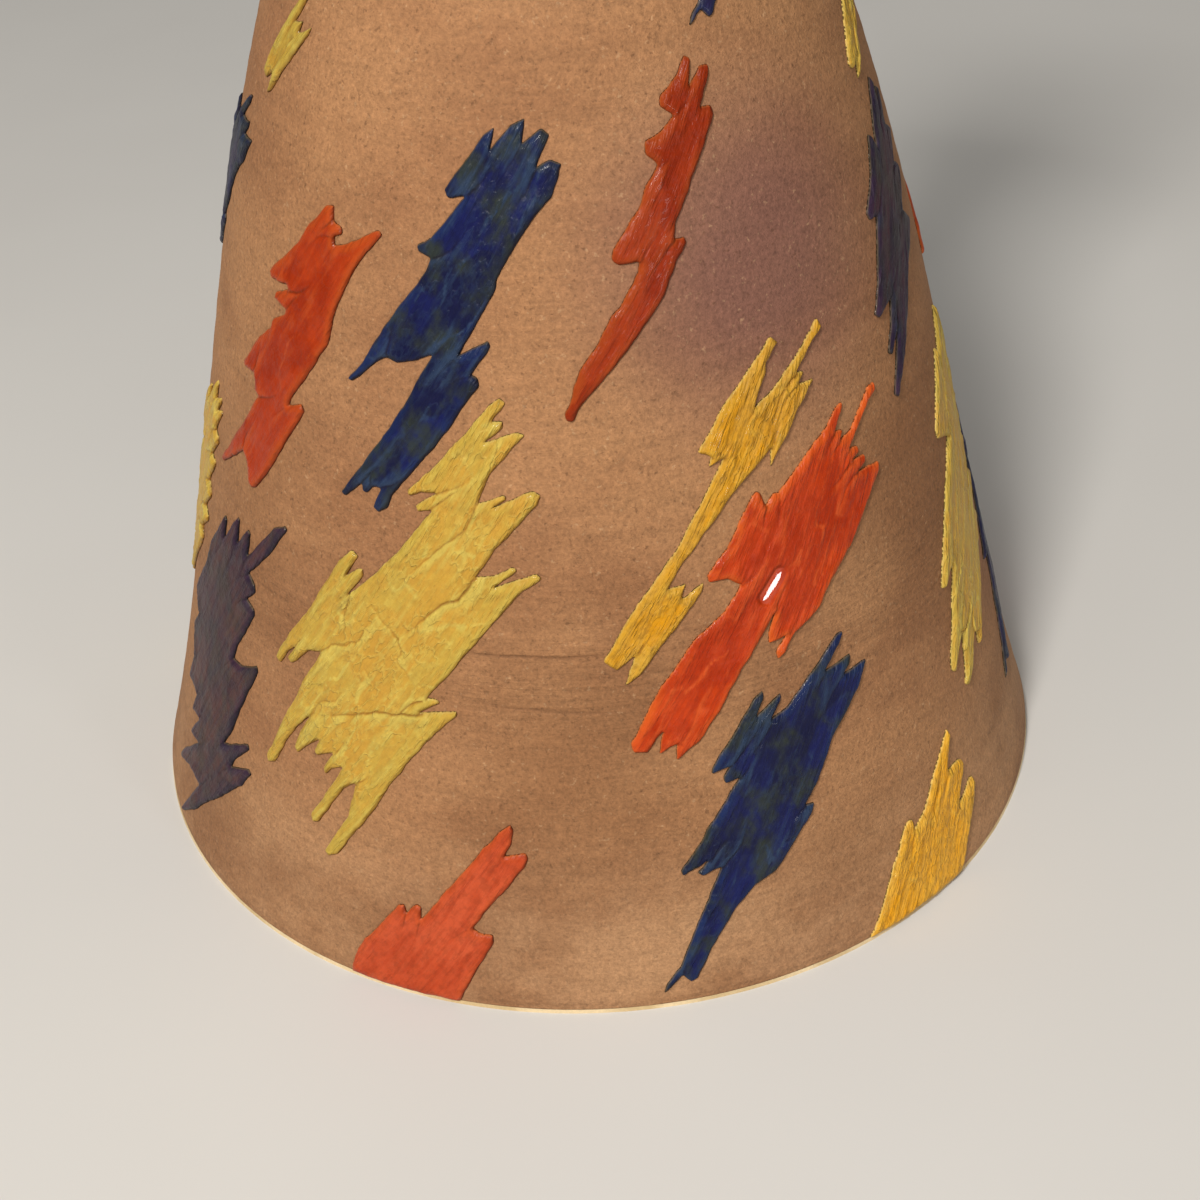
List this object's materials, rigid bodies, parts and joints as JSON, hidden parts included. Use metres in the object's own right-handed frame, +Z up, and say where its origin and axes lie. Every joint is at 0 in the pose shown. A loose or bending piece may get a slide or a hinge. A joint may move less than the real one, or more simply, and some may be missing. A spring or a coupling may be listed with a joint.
{
  "type": "pottery vase",
  "caption": "Tall conical pottery vase with a flared lip, a matte brown slip and raised glossy splashes of yellow, red and blue glaze.",
  "frame": {"origin": "centre of the foot ring, on the surface that the vase stands on", "axes": "+Z up along the vase's axis, -Y towards the front"},
  "size_m": [0.2991, 0.3007, 0.48],
  "materials": {
    "bare_clay": "dry bare clay, cream",
    "brown_slip": "matte brown slip with fine grain and faint rings",
    "lining_glaze": "smooth dark brown glaze",
    "yellow_glaze": "glossy raised yellow glaze",
    "red_glaze": "glossy raised orange-red glaze",
    "blue_glaze": "glossy raised cobalt glaze, mottled"
  },
  "bodies": {
    "root": {"base_slab": "bare_clay", "blue_splash_01": "blue_glaze", "blue_splash_02": "blue_glaze", "blue_splash_03": "blue_glaze", "blue_splash_04": "blue_glaze", "blue_splash_05": "blue_glaze", "blue_splash_06": "blue_glaze", "blue_splash_07": "blue_glaze", "blue_splash_08": "blue_glaze", "blue_splash_09": "blue_glaze", "blue_splash_10": "blue_glaze", "blue_splash_11": "blue_glaze", "blue_splash_12": "blue_glaze", "lining_glaze": "lining_glaze", "lip_ring": "bare_clay", "lower_wall": "bare_clay", "middle_wall": "bare_clay", "neck": "bare_clay", "red_splash_01": "red_glaze", "red_splash_02": "red_glaze", "red_splash_03": "red_glaze", "red_splash_04": "red_glaze", "red_splash_05": "red_glaze", "red_splash_06": "red_glaze", "red_splash_07": "red_glaze", "red_splash_08": "red_glaze", "red_splash_09": "red_glaze", "red_splash_10": "red_glaze", "red_splash_11": "red_glaze", "red_splash_12": "red_glaze", "slip_coat": "brown_slip", "upper_wall": "bare_clay", "yellow_splash_01": "yellow_glaze", "yellow_splash_02": "yellow_glaze", "yellow_splash_03": "yellow_glaze", "yellow_splash_04": "yellow_glaze", "yellow_splash_05": "yellow_glaze", "yellow_splash_06": "yellow_glaze", "yellow_splash_07": "yellow_glaze", "yellow_splash_08": "yellow_glaze", "yellow_splash_09": "yellow_glaze", "yellow_splash_10": "yellow_glaze", "yellow_splash_11": "yellow_glaze", "yellow_splash_12": "yellow_glaze", "yellow_splash_13": "yellow_glaze"}
  },
  "joints": []
}
